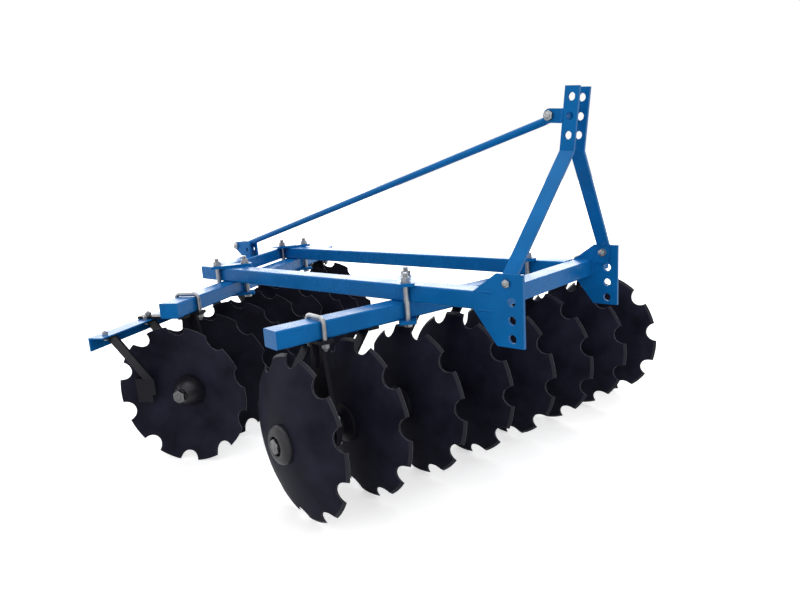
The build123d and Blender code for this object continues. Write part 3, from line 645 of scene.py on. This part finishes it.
floor_mesh.materials.append(pale)
print("the floor glows fully from", GLOW_FULL, "m on")

# %% [markdown]
# ## Background
# The world is white to the eye and in reflections, and gives a slightly dimmer light. One
# plain white world would be simpler, but together with the lamps it would light the paint
# too strongly. The rays tell which is which: camera, glossy and transmission rays see the
# full white, all others the dimmer one.

# %% World
WORLD_LIGHT = 0.86
world = bpy.data.worlds.new("studio")
bpy.context.scene.world = world
world.use_nodes = True
link, sky = world.node_tree.links.new, world.node_tree.nodes["Background"]
rays = add_node(world, "LightPath")
eye = add_node(world, "Math", operation="MAXIMUM")
link(rays.outputs["Is Camera Ray"], eye.inputs[0])
link(rays.outputs["Is Glossy Ray"], eye.inputs[1])
glass = add_node(world, "Math", operation="MAXIMUM")
link(eye.outputs["Value"], glass.inputs[0])
link(rays.outputs["Is Transmission Ray"], glass.inputs[1])
level = map_range(world, 0.0, 1.0, WORLD_LIGHT, 1.0)
link(glass.outputs["Value"], level.inputs["Value"])
link(level.outputs["Result"], sky.inputs["Strength"])
sky.inputs["Color"].default_value = (1, 1, 1, 1)
print("world light:", WORLD_LIGHT)

# %% [markdown]
# ## Lamps
# In the photograph the tops of the tubes shine, as under open sky, and the near side lies
# in soft light. A sun lamp would draw hard shadows that the photograph doesn't have, so
# the lamps are broad areas: one hangs overhead, one wide strip stands behind the machine
# to be mirrored in the tops of the tubes, and a weak one fills the near side.

# %% Lamps


def lamp(name, power, size, place, aim):
    light = bpy.data.lights.new(name, "AREA")
    light.shape = "RECTANGLE"
    light.energy, light.size, light.size_y = power, *size
    made = bpy.data.objects.new(name, light)
    bpy.context.scene.collection.objects.link(made)
    made.location = place
    made.rotation_euler = (Vector(aim) - Vector(place)).to_track_quat("-Z", "Y").to_euler()
    made.visible_camera = False


lamp("overhead", power=60, size=(4.0, 4.0), place=(0.0, 0.5, 4.5), aim=(0, 0, 0.4))
lamp("behind", power=170, size=(10.0, 2.2), place=(-4.4, 3.0, 1.9), aim=(0, 0, 0.6))
lamp("near_side", power=5, size=(3.0, 2.0), place=(0.2, -4.5, 2.6), aim=(0, 0, 0.5))

# %% [markdown]
# ## Camera
# The camera could be placed by eye, but then no edge would fall quite where it should. The
# place, the turn and the lens were fitted to the photograph instead: edges of the frame,
# bolt holes and disc rims all fall within a pixel or two of their places. The middle of
# the lens isn't the middle of the picture, which the two shifts make good.

# %% Camera
SIDEWAYS, DOWNWARD, ROLL = 0.714, 0.222, 0.062  # radians
WIDTH, HEIGHT, FOCAL, CENTRE_X, CENTRE_Y = 800, 600, 642.79, 411.383, 313.203  # pixels
SENSOR, STANDS_AT = 36, Vector((1086.08, -2005.395, 1106.07))
forward = Vector((-math.sin(SIDEWAYS) * math.cos(DOWNWARD),
                  math.cos(SIDEWAYS) * math.cos(DOWNWARD), -math.sin(DOWNWARD)))
level_right = Vector((math.cos(SIDEWAYS), math.sin(SIDEWAYS), 0))
level_down = forward.cross(level_right)
right = level_right * math.cos(ROLL) + level_down * math.sin(ROLL)
down = level_down * math.cos(ROLL) - level_right * math.sin(ROLL)
view = bpy.data.cameras.new("camera")
view.sensor_width = SENSOR
view.lens = FOCAL * SENSOR / WIDTH
view.shift_x = (WIDTH / 2 - CENTRE_X) / WIDTH
view.shift_y = (CENTRE_Y - HEIGHT / 2) / WIDTH
view.clip_start, view.clip_end = 0.05, 100
camera = bpy.data.objects.new("camera", view)
bpy.context.scene.collection.objects.link(camera)
camera.matrix_world = (Matrix.Translation(MACHINE @ STANDS_AT)
                       @ Matrix((right, -down, -forward)).transposed().to_4x4())
bpy.context.scene.camera = camera
bpy.context.scene.view_settings.view_transform = "Standard"
print("camera at", [round(v, 3) for v in camera.location])
